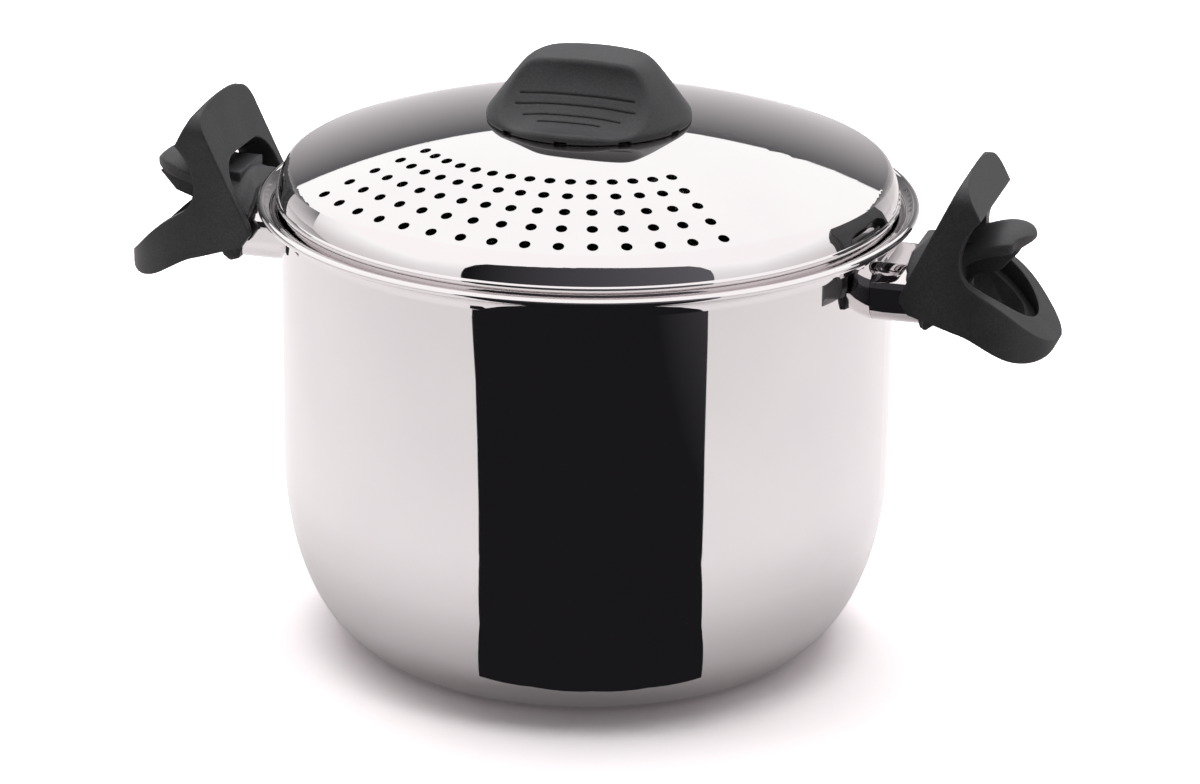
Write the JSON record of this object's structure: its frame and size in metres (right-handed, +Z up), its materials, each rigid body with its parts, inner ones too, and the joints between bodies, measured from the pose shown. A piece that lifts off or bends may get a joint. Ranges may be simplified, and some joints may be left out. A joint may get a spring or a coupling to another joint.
{
  "type": "pasta pot with strainer lid",
  "caption": "Tall polished steel pasta pot with a perforated domed strainer lid, black scooped knob and two black side handles whose hinged loop levers lock the lid for draining",
  "frame": {"origin": "on the floor under the pot's axis, at the bottom centre of the whole", "axes": "+Z up, +X along the line of the two side handles, towards the right hand handle; the strainer holes face -Y"},
  "size_m": [0.3772, 0.2586, 0.2398],
  "materials": {
    "polished_steel": "mirror polished stainless steel",
    "aluminium_core": "plain rolled aluminium",
    "black_bakelite": "satin black bakelite",
    "brass": "turned brass",
    "plain_steel": "plain stainless steel",
    "zinc_steel": "bright zinc plated steel"
  },
  "bodies": {
    "pot": {"pot_body": "polished_steel", "base_core": "aluminium_core", "base_cap": "polished_steel", "right_bracket": "plain_steel", "right_flame_guard": "polished_steel", "right_grip": "black_bakelite", "right_hinge_pin": "plain_steel", "right_grip_screw": "zinc_steel", "left_bracket": "plain_steel", "left_flame_guard": "polished_steel", "left_grip": "black_bakelite", "left_hinge_pin": "plain_steel", "left_grip_screw": "zinc_steel"},
    "lid": {"lid": "polished_steel", "knob_shell": "black_bakelite", "knob_base": "black_bakelite", "knob_insert": "brass", "knob_screw": "zinc_steel", "knob_washer": "zinc_steel"},
    "right_lever": {"right_lever": "black_bakelite"},
    "left_lever": {"left_lever": "black_bakelite"}
  },
  "joints": [
    {"name": "lid_lift", "type": "slide", "parent": "pot", "child": "lid", "axis": [0, 0, 1], "range_m": [0, 0.12]},
    {"name": "right_lock", "type": "hinge", "parent": "pot", "child": "right_lever", "pos_m": [0.143, 0, 0.169], "axis": [0, -1, 0], "range_deg": [0, 49]},
    {"name": "left_lock", "type": "hinge", "parent": "pot", "child": "left_lever", "pos_m": [-0.143, 0, 0.169], "axis": [0, 1, 0], "range_deg": [0, 49]}
  ]
}
